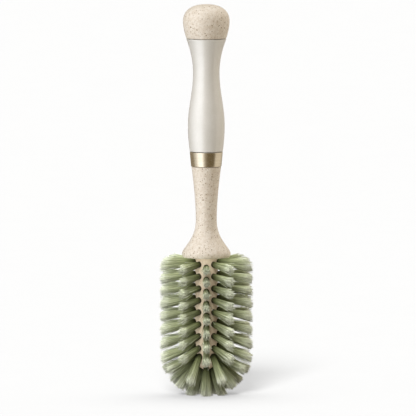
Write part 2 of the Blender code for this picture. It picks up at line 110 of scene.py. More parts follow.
# Neck and bell
BELL_FOOT = 0.09548
NECK_SHOULDER = 0.15808
NECK_LENGTH = NECK_SHOULDER - BELL_FOOT
NECK_TOP_RADIUS = 0.0102
NECK_WAIST_RADIUS = 0.0072
NECK_WAIST_DEPTH = 0.0353
NECK_TAPER_POWER = 1.6
BELL_RADIUS = 0.0168
BELL_EDGE_HEIGHT = 0.0030
BELL_EDGE_INSET = 0.0011
BELL_FLARE_POWER = 2.6
BELL_ROUND_POWER = 1.45
SPIGOT_RADIUS = 0.0088
ROD_BORE = 0.0033
ROD_RADIUS = 0.0030
WASHER_RADIUS = 0.0072
WASHER_RECESS = 0.0015

# Core of the brush head
CORE_TOP = 0.09518
CORE_RADIUS = 0.00795
INSERT_SEAT_RADIUS = 0.0049
INSERT_SEAT = 0.08258
DOME_RIM = 0.0280
DOME_HEIGHT = 0.0110
SOCKET_RADIUS = 0.00222
SOCKET_FOOT_RADIUS = 0.00185
SOCKET_DEPTH = 0.0012
SOCKET_SIDES = 20

# Tufts on the side of the core, a column to a line: where it stands and where it points, in degrees round
# from the front, how far its rows are above the middle ones, and how many degrees down its first and last
# rows point
COLUMNS = (
    (0, 0, -0.0020, 2.8, 16.0),
    (41, 30, 0.0, 5.7, 15.4),
    (77, 77, 0.0012, 6.5, 20.0),
    (113, 113, 0.0012, 1.5, 18.0),
    (148, 148, 0.0, 3.0, 15.5),
    (180, 180, -0.0010, 3.0, 16.0),
    (212, 212, 0.0, 3.0, 15.5),
    (247, 247, 0.0012, 1.5, 18.0),
    (283, 283, 0.0012, 6.5, 20.0),
    (319, 330, 0.0, 5.7, 15.4),
)
ROWS = 8
FIRST_ROW = 0.09088
LAST_ROW = 0.03320
ROW_PITCH = (FIRST_ROW - LAST_ROW) / (ROWS - 1)
DROOP_POWER = 2.2

# Tufts on the domed end, each with its mirror image unless it is on the middle line: where it stands and
# where it points, in degrees round from the front, how many degrees round the dome from its rim, how many
# degrees down it points, and whether it stands on the floor
DOME_TUFTS = (
    (36, 23, 3, 46, False),
    (66, 61, 3, 23, False),
    (99, 99, 3, 25, False),
    (132, 132, 3, 28, False),
    (165, 165, 3, 30, False),
    (72, 72, 24, 55, False),
    (105, 100, 23, 41, False),
    (141, 141, 23, 45, False),
    (180, 180, 23, 46, False),
    (122, 122, 44, 58, False),
    (162, 162, 44, 58, False),
    (0, 0, 57, 72, True),
    (72, 72, 60, 68, True),
    (142, 142, 63, 71, True),
    (0, 0, 90, 89, True),
)

# The round that the head is trimmed to: straight up the side, drawn in below its rim and above its corner
HEAD_RADIUS = 0.0329
TRIM_RIM = 0.0323
TRIM_POWER = 2.3
STANDING_CUT = 0.0016
TRIM_CORNER = 0.0905
TRIM_CORNER_HEIGHT = 0.0099
TRIM_HALVINGS = 30

# One tuft of bristles. Those of the front column fan out less, those on top of the first row reach up, and
# those that stand on the floor are cut more evenly
BRISTLES = 132
BRISTLE_RADIUS = 0.00023
BRISTLE_TIP_SHARE = 0.50
BRISTLE_CUTS = 4
TUFT_ROOT = 0.0011
TUFT_BASE_RADIUS = 0.0021
TUFT_TIP_RADIUS = 0.0033
FRONT_TIP_RADIUS = 0.0025
FRONT_FACING = 0.93
TUFT_SPLAY = 0.0009
TIP_SCATTER = 0.00042
LEAST_SCATTER = 0.4
BEND_SCATTER = 0.00040
TIP_CUT = 0.0011
SHORT_TIPS = 0.0010
STANDING_SHARE = 0.3
STRAY_SHARE = 0.16
STRAY_SHORTENING = 0.0032
STRAY_SCATTER = 3.0
TOP_ROW_LIFT = 0.0052
FLOOR_CLEARANCE = 0.00005
GOLDEN_ANGLE = math.pi * (3 - math.sqrt(5))
SEED = 411

# Tone of a bristle, 0 for dark and 1 for pale: its own at random, with painted light that makes it paler on
# top of its tuft and painted shade that makes it darker low on the domed end
MIDDLE_SHADE = 0.52
PAINTED_TOP_LIGHT = 0.30
PALE_SHARE = 0.30
PALE_SHADE, PLAIN_SHADE = 0.20, -0.07
PAINTED_DOME_SHADE = 0.52
SHADE_SCATTER = 0.05

# Threads
THREAD_LEAD = 0.003
THREAD_STEPS = 32
THREAD_DEPTH = 0.0002
THREAD_TURNS = 3
STUD_THREAD_TOP = HANDLE_TOP - 0.0005
ROD_THREAD_TOP = CORE_TOP - 0.0015

# CAD pieces whose shape is right, by the slot whose better material they take
KEPT_PIECES = {
    "insert_plastic": ("knob_stud", "top_collar", "handle_plug"),
    "seal_rubber": ("knob_seal", "plug_seal", "head_washer"),
    "rod_steel": ("neck_rod",),
    "brushed_brass": ("core_insert",),
}

# Flecks in the straw-filled plastic, a layer to a line: cells a metre, the largest radius as a share of a
# cell, the share of cells that stay bare, and how well a fleck covers. Then how far and how finely their
# outlines wander, how soft their edges are, how strong the faintest are, and how deep they lie
FLECK_LAYERS = (
    (470.0, 0.31, 0.04, 1.0),
    (760.0, 0.33, 0.08, 1.0),
    (1400.0, 0.38, 0.22, 0.75),
)
FLECK_WOBBLE = 0.35
FLECK_WOBBLE_SCALE = 2.5
FLECK_SOFT_EDGE = 0.30
FAINTEST_FLECK = 0.5
FLECK_PIT = 0.6

# How far the roughness of that plastic runs with its mottle
MOTTLE_ROUGHNESS = 0.16

# Kinds of socket
COLOR, FLOAT = "NodeSocketColor", "NodeSocketFloat"

# Colour along a bristle: how far along it is, then red, green and blue as on a screen. Its own colour is
# sage;
# the darkening at its root is painted shade in the socket and among the tufts, and its pale tip painted
# light.
# Then what multiplies that colour, by the bristle's tone with its painted light and shade, and by its place
# from the middle to the rim as painted shade on the rim, and its roughness by that tone
BRISTLE_COLORS_AND_PAINTED_LIGHT = (
    (0.00, 40, 44, 18),
    (0.06, 60, 66, 32),
    (0.19, 118, 126, 82),
    (0.46, 166, 174, 131),
    (0.78, 189, 196, 160),
    (0.95, 220, 225, 204),
)
TONE_AND_PAINTED_LIGHT_GAIN = (0.30, 1.32)
PAINTED_RIM_SHADE_GAIN = (1.10, 0.98)
BRISTLE_ROUGHNESS = (0.50, 0.66)

# Painted shade on the frosted wall where it is seen on edge: from and to how far aside it faces, and how much
PAINTED_EDGE_SHADE = (0.12, 0.5)
PAINTED_EDGE_SHADE_SHARE = 0.14
PAINTED_EDGE_SHADE_COLOR = (132, 126, 114)

# Camera: the photograph's frame is 416 by 416 at 0.689 mm a pixel
PIXEL = 0.000689
PICTURE_SIDE = 416
VIEW_CENTRE = Vector((0.00118, 0.0, 0.1295))
CAMERA_DISTANCE = 12.0
CAMERA_ELEVATION = math.radians(4.7)
SENSOR = 36.0

# Floor: its paint, and the even brightness that softens the shadows on it
FLOOR_SIDE = 40.0
FLOOR_PAINT = 0.068
FLOOR_MOTTLE = 0.001
FLOOR_GLEAM = 0.289

# Soft light round the brush, by the angle round from the camera towards the right, in degrees, with its
# strength and warmth there: what falls on the surfaces, and what the glossy ones reflect
FALLING_LIGHT = (
    (-180, 0.40, 0.3),
    (-100, 0.50, 0.2),
    (-76, 2.00, 0.0),
    (-30, 2.00, 0.0),
    (-8, 1.60, 0.3),
    (14, 0.45, 1.0),
    (30, 0.24, 1.1),
    (86, 0.26, 1.1),
    (108, 2.45, 0.35),
    (160, 2.45, 0.35),
    (176, 0.50, 0.3),
)
REFLECTED_LIGHT = (
    (-180, 0.36, 0.7),
    (-112, 0.34, 0.8),
    (-80, 0.90, 0.2),
    (-60, 1.70, 0.0),
    (-32, 1.85, 0.0),
    (-12, 0.55, 0.6),
    (6, 0.20, 1.1),
    (60, 0.18, 1.1),
    (74, 0.84, 0.45),
    (92, 0.84, 0.45),
    (116, 0.84, 0.45),
    (150, 0.52, 0.45),
    (180, 0.40, 0.7),
)
WARM_LIGHT = (1.0, 0.80, 0.50)
BAND_PEAK = 3.0

# The ceiling above the bands, the share of their light that comes from below, and the backdrop. A direction's
# height runs from -1 straight down to 1 straight up
CEILING = 1.05
CEILING_STARTS, CEILING_FULL = 0.72, 0.9
LIGHT_FROM_BELOW = 0.45
BELOW_ENDS, LEVEL_STARTS = -0.25, 0.05
BACKDROP = 0.985

# Lamps, each for some pieces alone: elevation, degrees round from the front towards the right, spread and
# power. Two throw the head's shadow on the floor: one back and to the right, and one close under it. One
# picks out the tufts
BACK_SHADOW_LAMP = (23, -7, 17, 39.0)
UNDER_SHADOW_LAMP = (75, 180, 66, 14.0)
TUFT_LAMP = (33, -8, 26, 1.95)


def shares(count):
    """Even steps from 0 to 1."""
    return [i / (count - 1) for i in range(count)]


def smooth_share(share):
    """A step from 0 to 1 that starts and ends gently."""
    return (1 - math.cos(math.pi * share)) / 2


def deselect_all():
    for obj in list(bpy.context.selected_objects):
        obj.select_set(False)


def select_only(obj):
    deselect_all()
    bpy.context.view_layer.objects.active = obj
    obj.select_set(True)


def edit(obj):
    select_only(obj)
    bpy.ops.object.mode_set(mode="EDIT")


def leave_edit():
    bpy.ops.object.mode_set(mode="OBJECT")


def apply_modifier(obj, kind, **settings):
    modifier = obj.modifiers.new(kind.title(), kind)
    for name, value in settings.items():
        setattr(modifier, name, value)
    select_only(obj)
    bpy.ops.object.modifier_apply(modifier=modifier.name)


def round_corners(obj, width):
    apply_modifier(
        obj,
        "BEVEL",
        width=width,
        segments=EDGE_SEGMENTS,
        limit_method="ANGLE",
        angle_limit=CORNER_ANGLE,
        use_clamp_overlap=True,
    )


def smooth(obj):
    select_only(obj)
    bpy.ops.object.shade_smooth_by_angle(angle=SMOOTH_ANGLE)


def merge_points():
    bpy.ops.mesh.select_all(action="SELECT")
    bpy.ops.mesh.remove_doubles(threshold=MERGE_DISTANCE)


def face_outwards():
    bpy.ops.mesh.select_all(action="SELECT")
    bpy.ops.mesh.normals_make_consistent(inside=False)


def turned(name, outline, closed, edge_round):
    """Draws an outline of (radius, height) points by extruding a point, then spins it about the axis."""
    deselect_all()
    bpy.ops.mesh.primitive_plane_add(size=START_FACE, location=(0.0, 0.0, 0.0))
    obj = bpy.context.object
    obj.name = name
    obj.data.name = name
    edit(obj)
    bpy.ops.mesh.select_all(action="SELECT")
    bpy.ops.mesh.merge(type="CENTER")
    points = list(outline) + ([outline[0]] if closed else [])
    radius, height = points[0]
    bpy.ops.transform.translate(value=(radius, 0.0, height))
    for (radius, height), (next_radius, next_height) in zip(points, points[1:]):
        step = (next_radius - radius, 0.0, next_height - height)
        bpy.ops.mesh.extrude_region_move(TRANSFORM_OT_translate={"value": step})
    merge_points()
    bpy.ops.mesh.spin(steps=TURN_STEPS, angle=math.tau, center=(0.0, 0.0, 0.0), axis=(0.0, 0.0, 1.0))
    merge_points()
    face_outwards()
    leave_edit()
    round_corners(obj, edge_round)
    smooth(obj)
    return obj


def knob_outline():
    """A squarish dome over a foot that draws in to the handle, bored for its stud and sealing ring."""
    widest = KNOB_TOP - KNOB_DOME_HEIGHT
    outline = []
    for share in shares(DOME_CURVE_POINTS):
        angle = share * math.pi / 2
        radius = KNOB_RADIUS * math.sin(angle) ** (2 / KNOB_DOME_POWER)
        height = KNOB_DOME_HEIGHT * max(0.0, math.cos(angle)) ** (2 / KNOB_DOME_POWER)
        outline.append((radius, widest + height))
    for share in shares(SHORT_CURVE_POINTS)[1:]:
        draw_in = (KNOB_RADIUS - KNOB_FOOT_RADIUS) * share**KNOB_FOOT_POWER
        outline.append((KNOB_RADIUS - draw_in, widest - (widest - KNOB_FOOT) * share))
    ring_top = HANDLE_TOP + KNOB_SEAL_THICKNESS + GAP
    shank_top = KNOB_FOOT + GAP + KNOB_SHANK_LENGTH + GAP
    outline += [
        (KNOB_SEAL_RECESS, KNOB_FOOT),
        (KNOB_SEAL_RECESS, ring_top),
        (KNOB_SHANK_BORE, ring_top),
        (KNOB_SHANK_BORE, shank_top),
        (0.0, shank_top),
    ]
    return outline


def handle_radius(depth):
    """The outside of the handle at a depth under its top: flare, waist, belly and foot."""
    if depth < HANDLE_WAIST_DEPTH:
        share = 1 - depth / HANDLE_WAIST_DEPTH
        return HANDLE_WAIST_RADIUS + (HANDLE_TOP_RADIUS - HANDLE_WAIST_RADIUS) * share**HANDLE_FLARE_POWER
    if depth < HANDLE_BELLY_DEPTH:
        share = (depth - HANDLE_WAIST_DEPTH) / (HANDLE_BELLY_DEPTH - HANDLE_WAIST_DEPTH)
        return HANDLE_WAIST_RADIUS + (HANDLE_BELLY_RADIUS - HANDLE_WAIST_RADIUS) * smooth_share(share)
    share = (depth - HANDLE_BELLY_DEPTH) / (HANDLE_LENGTH - HANDLE_BELLY_DEPTH)
    return HANDLE_BELLY_RADIUS + (HANDLE_FOOT_RADIUS - HANDLE_BELLY_RADIUS) * share**HANDLE_FLARE_POWER


def handle_outline():
    """The hollow sleeve: its wall follows the outside, with a seat for the collar and a bore for the plug."""
    outline = []
    for share in shares(SLEEVE_CURVE_POINTS):
        depth = HANDLE_LENGTH * share
        outline.append((handle_radius(depth), HANDLE_TOP - depth))
    bore = HANDLE_FOOT_RADIUS - HANDLE_WALL
    plug_top = HANDLE_FOOT + PLUG_HEIGHT + GAP
    collar_seat = HANDLE_TOP - COLLAR_HEIGHT - 2 * GAP
    outline += [(bore, HANDLE_FOOT), (bore, plug_top)]
    for share in shares(BORE_CURVE_POINTS):
        height = plug_top + (collar_seat - plug_top) * share
        outline.append((handle_radius(HANDLE_TOP - height) - HANDLE_WALL, height))
    outline += [(COLLAR_SEAT_RADIUS, collar_seat), (COLLAR_SEAT_RADIUS, HANDLE_TOP)]
    return outline


def ferrule_outline():
    return [
        (FERRULE_TOP_RADIUS, FERRULE_TOP),
        (FERRULE_FOOT_RADIUS, FERRULE_FOOT),
        (FERRULE_BORE, FERRULE_FOOT),
        (FERRULE_BORE, FERRULE_TOP),
    ]


def neck_outline():
    """The neck tapers from the ferrule to a waist and flares to the bell, with its spigot on top."""
    outline = [(SPIGOT_RADIUS, FERRULE_TOP), (SPIGOT_RADIUS, NECK_SHOULDER)]
    for share in shares(CURVE_POINTS)[:-1]:
        swell = (NECK_TOP_RADIUS - NECK_WAIST_RADIUS) * (1 - share) ** NECK_TAPER_POWER
        outline.append((NECK_WAIST_RADIUS + swell, NECK_SHOULDER - share * NECK_WAIST_DEPTH))
    flare_height = NECK_LENGTH - NECK_WAIST_DEPTH - BELL_EDGE_HEIGHT
    for share in shares(BELL_CURVE_POINTS):
        round_share = 1 - (1 - share**BELL_FLARE_POWER) ** BELL_ROUND_POWER
        swell = (BELL_RADIUS - NECK_WAIST_RADIUS) * round_share
        height = NECK_SHOULDER - NECK_WAIST_DEPTH - share * flare_height
        outline.append((NECK_WAIST_RADIUS + swell, height))
    for share in shares(SHORT_CURVE_POINTS)[1:]:
        angle = share * math.pi / 2
        radius = BELL_RADIUS - BELL_EDGE_INSET * (1 - math.cos(angle))
        outline.append((radius, BELL_FOOT + BELL_EDGE_HEIGHT * (1 - math.sin(angle))))
    recess = WASHER_RADIUS + GAP
    outline += [
        (recess, BELL_FOOT),
        (recess, BELL_FOOT + WASHER_RECESS),
        (ROD_BORE, BELL_FOOT + WASHER_RECESS),
        (ROD_BORE, FERRULE_TOP),
    ]
    return outline


def dome_point(angle):
    """Radius and height of the domed end of the core, at an angle round from its rim."""
    return CORE_RADIUS * math.cos(angle), DOME_RIM - DOME_HEIGHT * math.sin(angle)


def core_outline():
    """The core of the head: a socket for the threaded insert, a long wall and the domed end."""
    outline = [
        (0.0, INSERT_SEAT),
        (INSERT_SEAT_RADIUS, INSERT_SEAT),
        (INSERT_SEAT_RADIUS, CORE_TOP),
        (CORE_RADIUS, CORE_TOP),
    ]
    wall = CORE_TOP - DOME_RIM
    outline += [(CORE_RADIUS, CORE_TOP - wall * share) for share in shares(ROWS + 1)[1:-1]]
    outline += [dome_point(share * math.pi / 2) for share in shares(CURVE_POINTS)]
    outline[-1] = (0.0, DOME_RIM - DOME_HEIGHT)
    return outline


def pointing(azimuth, droop):
    return Vector((
        math.cos(azimuth) * math.cos(droop),
        math.sin(azimuth) * math.cos(droop),
        -math.sin(droop),
    ))


def round_from_front(degrees):
    """The angle round the axis from +X, given in degrees round from the front, which is -Y."""
    return math.radians(degrees - 90)


def column_places(column):
    """Base, direction and whether it stands on the floor, of each tuft of one column, from the top down."""
    stands, points, rise, first_droop, last_droop = column
    azimuth = round_from_front(stands)
    places = []
    for share in shares(ROWS):
        droop = math.radians(first_droop + (last_droop - first_droop) * share**DROOP_POWER)
        height = FIRST_ROW + rise + (LAST_ROW - FIRST_ROW) * share
        base = Vector((CORE_RADIUS * math.cos(azimuth), CORE_RADIUS * math.sin(azimuth), height))
        places.append((base, pointing(round_from_front(points), droop), False))
    return places


def dome_places():
    """Base, direction and whether it stands on the floor, of each tuft on the domed end."""
    places = []
    for stands, points, round_dome, down, on_floor in DOME_TUFTS:
        radius, height = dome_point(math.radians(round_dome))
        sides = (1,) if stands % 180 == 0 else (1, -1)
        for side in sides:
            azimuth = round_from_front(side * stands)
            base = Vector((radius * math.cos(azimuth), radius * math.sin(azimuth), height))
            direction = pointing(round_from_front(side * points), math.radians(down))
            places.append((base, direction, on_floor))
    return places


def drill_sockets(core, places):
    """Drills one countersunk hole for each tuft: a cone is modelled once and copied to every place."""
    deselect_all()
    depth = 2 * SOCKET_DEPTH
    slope = (SOCKET_RADIUS - SOCKET_FOOT_RADIUS) / SOCKET_DEPTH
    bpy.ops.mesh.primitive_cone_add(
        vertices=SOCKET_SIDES,
        radius1=SOCKET_FOOT_RADIUS,
        radius2=SOCKET_FOOT_RADIUS + slope * depth,
        depth=depth,
        location=(0.0, 0.0, depth / 2 - SOCKET_DEPTH),
    )
    drill = bpy.context.object
    drill.data.transform(drill.matrix_basis)
    drill.matrix_basis.identity()
    bm = bmesh.new()
    for base, direction, _ in places:
        copy = drill.data.copy()
        turn = direction.to_track_quat("Z", "Y").to_matrix().to_4x4()
        turn.translation = base
        copy.transform(turn)
        bm.from_mesh(copy)
        bpy.data.meshes.remove(copy)
    bm.to_mesh(drill.data)
    bm.free()
    apply_modifier(core, "BOOLEAN", operation="DIFFERENCE", solver="EXACT", object=drill, use_self=True)
    bpy.data.objects.remove(drill)
    smooth(core)


def bristle_blank():
    """One bristle, modelled once: a four-sided rod of unit length and radius, cut so that it can bend."""
    deselect_all()
    bpy.ops.mesh.primitive_cylinder_add(vertices=4, radius=1.0, depth=1.0, location=(0.0, 0.0, 0.5))
    obj = bpy.context.object
    edit(obj)
    bpy.ops.mesh.select_all(action="DESELECT")
    bpy.ops.mesh.select_mode(type="EDGE")
    bm = bmesh.from_edit_mesh(obj.data)
    for edge in bm.edges:
        foot, tip = edge.verts
        lengthways = abs(foot.co.z - tip.co.z) > 0.5
        edge.select_set(lengthways)
    bmesh.update_edit_mesh(obj.data)
    bpy.ops.mesh.subdivide(number_cuts=BRISTLE_CUTS)
    face_outwards()
    bpy.ops.mesh.select_mode(type="VERT")
    leave_edit()
    mesh = obj.data
    mesh.transform(obj.matrix_basis)
    points = np.array([vertex.co for vertex in mesh.vertices])
    faces = np.array([tuple(polygon.vertices) for polygon in mesh.polygons])
    bpy.data.objects.remove(obj)
    return points, faces


def outside_trim(points, lowered):
    """Over 1 where a point lies outside the round that the head is trimmed to."""
    across = np.hypot(points[:, 0], points[:, 1]) / HEAD_RADIUS
    down = np.maximum(0.0, (TRIM_RIM - lowered - points[:, 2]) / TRIM_RIM)
    up = np.maximum(0.0, (points[:, 2] - TRIM_CORNER) / TRIM_CORNER_HEIGHT)
    return across**TRIM_POWER + down**TRIM_POWER + up**TRIM_POWER


def trimmed_reach(starts, directions, stands):
    """How far each bristle runs before it meets the trimmed round or the floor, found by halving."""
    low = np.zeros(len(starts))
    high = np.full(len(starts), 2 * HEAD_RADIUS)
    lowered = STANDING_CUT if stands else 0.0
    for _ in range(TRIM_HALVINGS):
        middle = (low + high) / 2
        points = starts + directions * middle[:, None]
        inside = (outside_trim(points, lowered) < 1) & (points[:, 2] > 0)
        low = np.where(inside, middle, low)
        high = np.where(inside, high, middle)
    return low


def spiral_places(rng):
    """Even places over a round of radius 1, one for each bristle, and how far out each of them is."""
    order = np.arange(BRISTLES)
    outward = np.sqrt((order + 0.5) / BRISTLES)
    angle = order * GOLDEN_ANGLE + rng.uniform(0, math.tau)
    return np.stack([outward * np.cos(angle), outward * np.sin(angle)], axis=1), outward


def over_round(places, sideways, upright):
    """Places given as two numbers, laid out across a tuft."""
    return places[:, :1] * sideways + places[:, 1:] * upright


def bristle_lines(place, sides, across, outward, rng):
    """Start, direction and length of each bristle: packed in the socket, fanned out and unevenly cut."""
    base, direction, stands = place
    reach = trimmed_reach(base[None], direction[None], stands)[0]
    starts = base - direction * TUFT_ROOT + across * (TUFT_BASE_RADIUS - BRISTLE_RADIUS)
    strays = rng.random(BRISTLES) < STRAY_SHARE
    scatter = rng.normal(0, TIP_SCATTER, (BRISTLES, 2)) * (LEAST_SCATTER + outward[:, None])
    scatter = np.where(strays[:, None], scatter * STRAY_SCATTER, scatter)
    tip_radius = FRONT_TIP_RADIUS if -direction[1] > FRONT_FACING else TUFT_TIP_RADIUS
    aims = base + direction * reach + across * tip_radius + over_round(scatter, *sides)
    in_top_row = base[2] > FIRST_ROW - ROW_PITCH / 2
    in_front = base[1] <= -CORE_RADIUS / 2
    if in_top_row and not in_front:
        aims[:, 2] += TOP_ROW_LIFT * np.maximum(0.0, across[:, 2])
    directions = aims - starts
    directions /= np.linalg.norm(directions, axis=1)[:, None]
    lengths = trimmed_reach(starts, directions, stands)
    cut = np.abs(rng.normal(TIP_CUT, SHORT_TIPS, BRISTLES))
    lengths = lengths - cut * (STANDING_SHARE if stands else 1.0)
    lengths = lengths - strays * rng.uniform(0, STRAY_SHORTENING, BRISTLES)
    return starts, directions, lengths


def bristle_points(shape, lines, sides, places, rng):
    """Every point of a tuft: the blank is thinned to its tip, rolled, bowed and laid along each line."""
    starts, directions, lengths = lines
    sideways, upright = sides
    along = shape[:, 2]
    bends = rng.normal(0, BEND_SCATTER, (BRISTLES, 2)) + places * TUFT_SPLAY
    roll = rng.uniform(0, math.tau, BRISTLES)[:, None]
    thickness = BRISTLE_RADIUS * (1 - (1 - BRISTLE_TIP_SHARE) * along)
    rolled_x = shape[:, 0] * np.cos(roll) - shape[:, 1] * np.sin(roll)
    rolled_y = shape[:, 0] * np.sin(roll) + shape[:, 1] * np.cos(roll)
    bow = along * along - along
    aside = rolled_x * thickness + bends[:, :1] * bow
    up = rolled_y * thickness + bends[:, 1:] * bow
    points = (
        starts[:, None, :]
        + directions[:, None, :] * (lengths[:, None] * along)[:, :, None]
        + aside[:, :, None] * sideways
        + up[:, :, None] * upright
    )
    points = points.reshape(-1, 3)
    points[:, 2] = np.maximum(points[:, 2], FLOOR_CLEARANCE)
    return points


def bristle_tones_and_painted_light(height, across, rng):
    """Each bristle's tone at a tuft's height on the core, with painted light on its top and painted shade on
    the dome.
    """
    own = np.where(rng.random(BRISTLES) < PALE_SHARE, PALE_SHADE, PLAIN_SHADE)
    # Painted shade makes bristles low on the domed end darker, and painted light makes those on top of a tuft
    # paler
    under = PAINTED_DOME_SHADE * max(0.0, 1 - height / LAST_ROW)
    shade = MIDDLE_SHADE + PAINTED_TOP_LIGHT * across[:, 2] + own - under
    return np.clip(shade + rng.normal(0, SHADE_SCATTER, BRISTLES), 0.0, 1.0)


def tuft_bristles(place, shape, rng):
    """The points of one tuft, each with how far along it is, its bristle's tone and painted light, and how
    far out.
    """
    base, direction, stands = place
    turn = np.array(direction.to_track_quat("Z", "Y").to_matrix())
    sides = turn[:, 0], turn[:, 1]
    base, direction = np.array(base), np.array(direction)
    places, outward = spiral_places(rng)
    across = over_round(places, *sides)
    lines = bristle_lines((base, direction, stands), sides, across, outward, rng)
    points = bristle_points(shape, lines, sides, places, rng)
    shade = bristle_tones_and_painted_light(base[2], across, rng)
    along = np.tile(shape[:, 2], BRISTLES)
    return points, along, np.repeat(shade, len(shape)), np.repeat(outward, len(shape))


def tufts(name, places, blank, rng):
    """One piece of several tufts, whose points carry the three values that the bristle material reads."""
    shape, faces = blank
    gathered = zip(*(tuft_bristles(place, shape, rng) for place in places))
    points, *values = (np.concatenate(each) for each in gathered)
    bristles = len(points) // len(shape)
    offsets = np.arange(bristles)[:, None, None] * len(shape)
    all_faces = (faces[None] + offsets).reshape(-1, faces.shape[1])
    mesh = bpy.data.meshes.new(name)
    mesh.from_pydata(points, [], all_faces)
    for attribute, of_points in zip(("along", "shade", "edge"), values):
        layer = mesh.attributes.new(attribute, "FLOAT", "POINT")
        layer.data.foreach_set("value", of_points)
    obj = bpy.data.objects.new(name, mesh)
    bpy.context.scene.collection.objects.link(obj)
    mesh.shade_smooth()
    return obj


def thread(name, radius, top):
    """A raised thread: a small triangle wound up round the axis and closed at both ends."""
    half = THREAD_LEAD / 4
    root = radius - THREAD_DEPTH / 2
    outline = [(root, half), (radius + THREAD_DEPTH, 0.0), (root, -half)]
    deselect_all()
    bpy.ops.mesh.primitive_circle_add(
        vertices=len(outline),
        radius=THREAD_DEPTH,
        fill_type="NGON",
        location=(0.0, 0.0, 0.0),
    )
    obj = bpy.context.object
    obj.name = name
    obj.data.name = name
    foot = top - THREAD_LEAD * THREAD_TURNS
    for vertex, (x, z) in zip(obj.data.vertices, outline):
        vertex.co = (x, 0.0, foot + half + z)
    apply_modifier(
        obj,
        "SCREW",
        axis="Z",
        screw_offset=THREAD_LEAD,
        iterations=THREAD_TURNS,
        steps=THREAD_STEPS,
        render_steps=THREAD_STEPS,
        use_merge_vertices=False,
    )
    edit(obj)
    merge_points()
    bpy.ops.mesh.select_all(action="DESELECT")
    bpy.ops.mesh.select_non_manifold()
    bpy.ops.mesh.edge_face_add()
    face_outwards()
    leave_edit()
    smooth(obj)
    return obj


def srgb(red, green, blue):
    """A colour given as 0 to 255 on a screen, made linear."""
    linear = []
    for value in (red, green, blue):
        value /= 255
        linear.append(value / 12.92 if value <= 0.04045 else ((value + 0.055) / 1.055) ** 2.4)
    return (*linear, 1.0)


def grey(value):
    return (value, value, value, 1.0)


def node(tree, kind, inputs=None, **settings):
    """Adds a node, with its settings, and its inputs set by a value or linked from another socket."""
    made = tree.nodes.new(kind)
    for name, value in settings.items():
        setattr(made, name, value)
    for key, value in (inputs or {}).items():
        socket = made.inputs[key]
        if isinstance(value, bpy.types.NodeSocket):
            tree.links.new(value, socket)
        else:
            socket.default_value = value
    return made


def mix_color(tree, factor, first, second, blend="MIX"):
    """Two colours mixed: inputs 6 and 7 of the mix node are its colours, and output 2 is what they make."""
    inputs = {0: factor, 6: first, 7: second}
    return node(tree, "ShaderNodeMix", inputs, data_type="RGBA", blend_type=blend).outputs[2]


def mix_vectors(tree, factor, first, second):
    """Two vectors mixed: inputs 4 and 5 of the mix node are its vectors, and output 1 is what they make."""
    inputs = {0: factor, 4: first, 5: second}
    return node(tree, "ShaderNodeMix", inputs, data_type="VECTOR").outputs[1]


def math_node(tree, operation, *values, clamp=False):
    inputs = dict(enumerate(values))
    return node(tree, "ShaderNodeMath", inputs, operation=operation, use_clamp=clamp).outputs[0]


def vector_math(tree, operation, first, second):
    return node(tree, "ShaderNodeVectorMath", {0: first, 1: second}, operation=operation).outputs[0]


def ranged(tree, value, start=0.0, end=1.0, low=0.0, high=1.0, interpolation="LINEAR"):
    """A value that runs from start to end, made to run from low to high."""
    inputs = {"Value": value, "From Min": start, "From Max": end, "To Min": low, "To Max": high}
    made = node(tree, "ShaderNodeMapRange", inputs, interpolation_type=interpolation)
    return made.outputs["Result"]


def object_place(tree):
    return node(tree, "ShaderNodeTexCoord").outputs["Object"]


def scaled_place(tree, across, along):
    """Object coordinates scaled across the axis and along it."""
    inputs = {"Vector": object_place(tree), "Scale": (across, across, along)}
    return node(tree, "ShaderNodeMapping", inputs).outputs["Vector"]


def noise(tree, place, scale, detail, roughness=0.5):
    inputs = {"Vector": place, "Scale": scale, "Detail": detail, "Roughness": roughness}
    return node(tree, "ShaderNodeTexNoise", inputs).outputs


def new_group(name, colors, values):
    """A pattern group, which gives colour, roughness and height, and the sockets of its inputs."""
    tree = bpy.data.node_groups.new(name, "ShaderNodeTree")
    for label in colors:
        tree.interface.new_socket(label, in_out="INPUT", socket_type=COLOR)
    for label in values:
        tree.interface.new_socket(label, in_out="INPUT", socket_type=FLOAT)
    for label, kind in (("Color", COLOR), ("Roughness", FLOAT), ("Height", FLOAT)):
        tree.interface.new_socket(label, in_out="OUTPUT", socket_type=kind)
    return tree, node(tree, "NodeGroupInput").outputs


def fleck_mask(tree, place):
    """How much fleck covers a place, as the most that any layer of flecks gives."""
    covered = None
    for scale, radius, bare, strength in FLECK_LAYERS:
        wobble = noise(tree, place, scale=scale * FLECK_WOBBLE_SCALE, detail=1.0)
        shift = vector_math(tree, "SUBTRACT", wobble["Color"], (0.5, 0.5, 0.5))
        push = vector_math(tree, "MULTIPLY", shift, (FLECK_WOBBLE / scale,) * 3)
        moved = vector_math(tree, "ADD", place, push)
        cells = node(tree, "ShaderNodeTexVoronoi", {"Vector": moved, "Scale": scale}).outputs
        chance = node(tree, "ShaderNodeSeparateColor", {"Color": cells["Color"]}).outputs
        size = ranged(tree, chance[0], start=bare, high=radius)
        inside = math_node(tree, "SUBTRACT", size, cells["Distance"])
        spot = ranged(tree, inside, end=radius * FLECK_SOFT_EDGE, high=strength, interpolation="SMOOTHSTEP")
        faint = ranged(tree, chance[1], low=FAINTEST_FLECK)
        mask = math_node(tree, "MULTIPLY", spot, faint, clamp=True)
        covered = mask if covered is None else math_node(tree, "MAXIMUM", covered, mask)
    return covered


